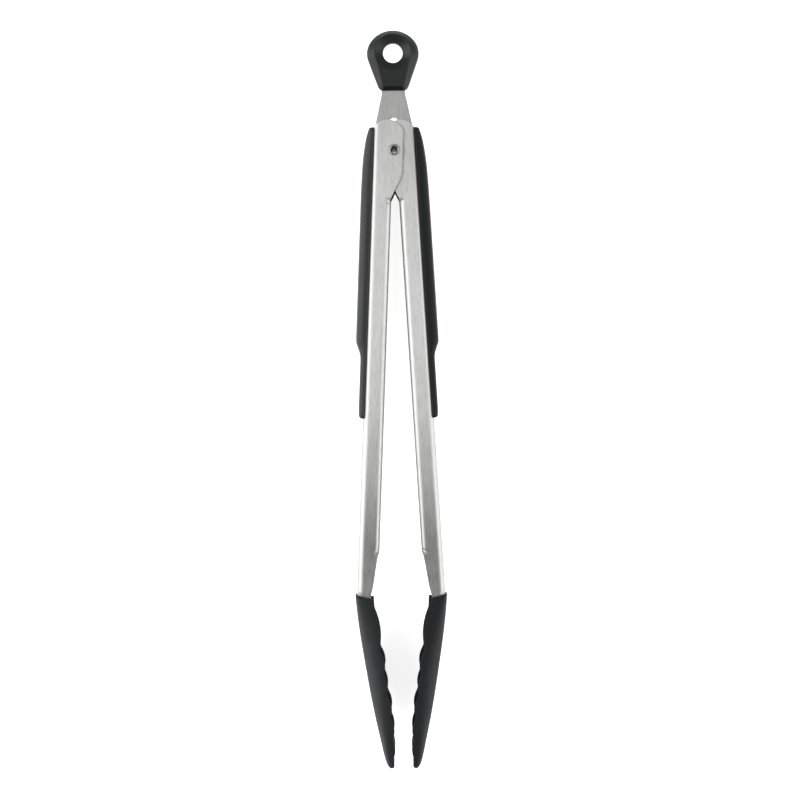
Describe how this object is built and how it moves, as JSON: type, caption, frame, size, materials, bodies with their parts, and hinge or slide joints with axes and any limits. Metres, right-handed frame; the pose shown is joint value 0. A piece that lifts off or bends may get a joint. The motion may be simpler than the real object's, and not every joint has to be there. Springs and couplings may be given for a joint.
{
  "type": "spring loaded kitchen tongs",
  "caption": "Long sprung kitchen tongs with brushed steel channel arms, black rubber grips, scalloped silicone heads and a pull tab lock with a hanging loop.",
  "frame": {"origin": "centre of the footprint, on the plane the heads rest on when the tongs lie flat", "axes": "+Y runs along the tongs from the head tips towards the hanging loop, +X towards the right arm (the one with the inner ears), +Z along the pivot's axis, up from the table and out of the side with the rivet's rolled end"},
  "size_m": [0.0436, 0.3494, 0.037],
  "materials": {
    "brushed_stainless": "satin, brushed along the arm",
    "bright_stainless": "turned, fairly bright",
    "spring_steel": "drawn wire",
    "black_grip_rubber": "matte, soft touch",
    "black_silicone": "matte, moulded",
    "dark_nylon": "moulded, hidden",
    "pale_nylon": "turned, smooth"
  },
  "bodies": {
    "pivot": {"pivot_rivet": "bright_stainless", "front_thrust_washer": "pale_nylon", "back_thrust_washer": "pale_nylon", "front_spacer_bush": "pale_nylon", "back_spacer_bush": "pale_nylon", "torsion_spring": "spring_steel"},
    "left_arm": {"left_arm": "brushed_stainless", "left_grip": "black_grip_rubber", "left_grip_anchor": "dark_nylon", "left_head": "black_silicone", "left_head_core": "dark_nylon", "left_head_rivets": "bright_stainless"},
    "right_arm": {"right_arm": "brushed_stainless", "right_grip": "black_grip_rubber", "right_grip_anchor": "dark_nylon", "right_head": "black_silicone", "right_head_core": "dark_nylon", "right_head_rivets": "bright_stainless"},
    "tab": {"lock_tab": "brushed_stainless", "hanging_loop": "black_grip_rubber"}
  },
  "joints": [
    {"name": "left_arm_swing", "type": "hinge", "parent": "pivot", "child": "left_arm", "pos_m": [0, 0.11707, 0.0185], "axis": [0, 0, -1], "range_deg": [-0.75, 10.5], "stiffness_Nm_per_rad": 1.4, "springref_deg": 15.01, "deforming": ["torsion_spring"]},
    {"name": "right_arm_swing", "type": "hinge", "parent": "pivot", "child": "right_arm", "pos_m": [0, 0.11707, 0.0185], "axis": [0, 0, 1], "range_deg": [-0.75, 10.5], "stiffness_Nm_per_rad": 1.4, "springref_deg": 15.01},
    {"name": "tab_slide", "type": "slide", "parent": "pivot", "child": "tab", "axis": [0, -1, 0], "range_m": [-0.00105, 0.01425]}
  ],
  "couplings": [
    {"joint": "right_arm_swing", "follows": "left_arm_swing", "ratio": 1},
    {"joint": "tab_slide", "follows": "left_arm_swing", "m_per_rad": 0.0775}
  ]
}
